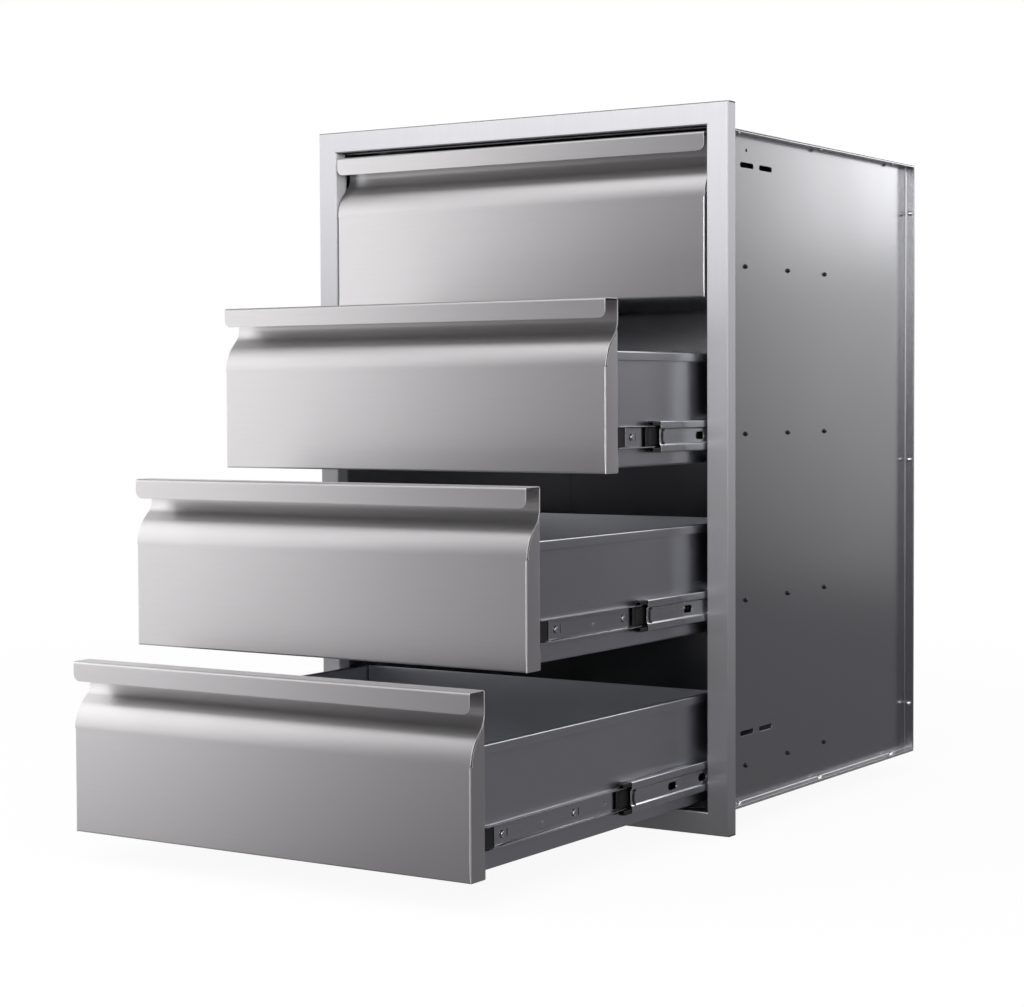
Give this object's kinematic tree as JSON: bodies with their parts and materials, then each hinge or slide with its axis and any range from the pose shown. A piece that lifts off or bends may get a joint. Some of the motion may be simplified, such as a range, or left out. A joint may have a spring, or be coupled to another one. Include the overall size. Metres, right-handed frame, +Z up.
{
  "type": "outdoor kitchen drawer unit",
  "caption": "Built-in outdoor kitchen drawer unit: raised mitred face frame, sheet metal cabinet and stacked drawers with full-width grips on telescopic slides.",
  "frame": {"origin": "middle of the back of the face frame's bottom rail, on the face that lies against the counter", "axes": "+X to the right seen from the front, +Y into the unit, +Z up"},
  "size_m": [0.6, 1.0795, 0.864],
  "materials": {
    "brushed_steel": "brushed stainless steel sheet with folded edges",
    "cabinet_steel": "smooth mill-finish stainless steel sheet",
    "slide_steel": "bright zinc-plated rolled steel",
    "black_plastic": "black moulded plastic"
  },
  "bodies": {
    "cabinet": {"face_frame_bottom": "brushed_steel", "face_frame_top": "brushed_steel", "face_frame_left": "brushed_steel", "face_frame_right": "brushed_steel", "side_panel_left": "cabinet_steel", "side_panel_right": "cabinet_steel", "top_panel": "cabinet_steel", "bottom_panel": "cabinet_steel", "back_panel": "cabinet_steel", "slide_1_left_cabinet_member": "slide_steel", "slide_1_right_cabinet_member": "slide_steel", "slide_2_left_cabinet_member": "slide_steel", "slide_2_right_cabinet_member": "slide_steel", "slide_3_left_cabinet_member": "slide_steel", "slide_3_right_cabinet_member": "slide_steel", "slide_4_left_cabinet_member": "slide_steel", "slide_4_right_cabinet_member": "slide_steel"},
    "drawer_1": {"drawer_front_1": "brushed_steel", "drawer_box_1": "brushed_steel", "slide_1_left_drawer_member": "slide_steel", "slide_1_right_drawer_member": "slide_steel", "slide_1_left_end_cap": "black_plastic", "slide_1_right_end_cap": "black_plastic"},
    "runners_1": {"slide_1_left_middle_member": "slide_steel", "slide_1_right_middle_member": "slide_steel", "slide_1_left_ball_retainer": "black_plastic", "slide_1_right_ball_retainer": "black_plastic"},
    "drawer_2": {"drawer_front_2": "brushed_steel", "drawer_box_2": "brushed_steel", "slide_2_left_drawer_member": "slide_steel", "slide_2_right_drawer_member": "slide_steel", "slide_2_left_end_cap": "black_plastic", "slide_2_right_end_cap": "black_plastic"},
    "runners_2": {"slide_2_left_middle_member": "slide_steel", "slide_2_right_middle_member": "slide_steel", "slide_2_left_ball_retainer": "black_plastic", "slide_2_right_ball_retainer": "black_plastic"},
    "drawer_3": {"drawer_front_3": "brushed_steel", "drawer_box_3": "brushed_steel", "slide_3_left_drawer_member": "slide_steel", "slide_3_right_drawer_member": "slide_steel", "slide_3_left_end_cap": "black_plastic", "slide_3_right_end_cap": "black_plastic"},
    "runners_3": {"slide_3_left_middle_member": "slide_steel", "slide_3_right_middle_member": "slide_steel", "slide_3_left_ball_retainer": "black_plastic", "slide_3_right_ball_retainer": "black_plastic"},
    "drawer_4": {"drawer_front_4": "brushed_steel", "drawer_box_4": "brushed_steel", "slide_4_left_drawer_member": "slide_steel", "slide_4_right_drawer_member": "slide_steel", "slide_4_left_end_cap": "black_plastic", "slide_4_right_end_cap": "black_plastic"},
    "runners_4": {"slide_4_left_middle_member": "slide_steel", "slide_4_right_middle_member": "slide_steel", "slide_4_left_ball_retainer": "black_plastic", "slide_4_right_ball_retainer": "black_plastic"}
  },
  "joints": [
    {"name": "drawer_slide_1", "type": "slide", "parent": "cabinet", "child": "drawer_1", "axis": [0, -1, 0], "range_m": [0, 0.5]},
    {"name": "runner_slide_1", "type": "slide", "parent": "cabinet", "child": "runners_1", "axis": [0, -1, 0], "range_m": [0, 0.2505]},
    {"name": "drawer_slide_2", "type": "slide", "parent": "cabinet", "child": "drawer_2", "axis": [0, -1, 0], "range_m": [-0.228, 0.272]},
    {"name": "runner_slide_2", "type": "slide", "parent": "cabinet", "child": "runners_2", "axis": [0, -1, 0], "range_m": [-0.1845, 0.22]},
    {"name": "drawer_slide_3", "type": "slide", "parent": "cabinet", "child": "drawer_3", "axis": [0, -1, 0], "range_m": [-0.39, 0.11]},
    {"name": "runner_slide_3", "type": "slide", "parent": "cabinet", "child": "runners_3", "axis": [0, -1, 0], "range_m": [-0.2146, 0.0609]},
    {"name": "drawer_slide_4", "type": "slide", "parent": "cabinet", "child": "drawer_4", "axis": [0, -1, 0], "range_m": [-0.496, 0.004]},
    {"name": "runner_slide_4", "type": "slide", "parent": "cabinet", "child": "runners_4", "axis": [0, -1, 0], "range_m": [-0.252, 0.0025]}
  ],
  "couplings": [
    {"joint": "runner_slide_1", "follows": "drawer_slide_1", "ratio": 0.5},
    {"joint": "runner_slide_2", "follows": "drawer_slide_2", "ratio": 0.807},
    {"joint": "runner_slide_3", "follows": "drawer_slide_3", "ratio": 0.549},
    {"joint": "runner_slide_4", "follows": "drawer_slide_4", "ratio": 0.507}
  ]
}
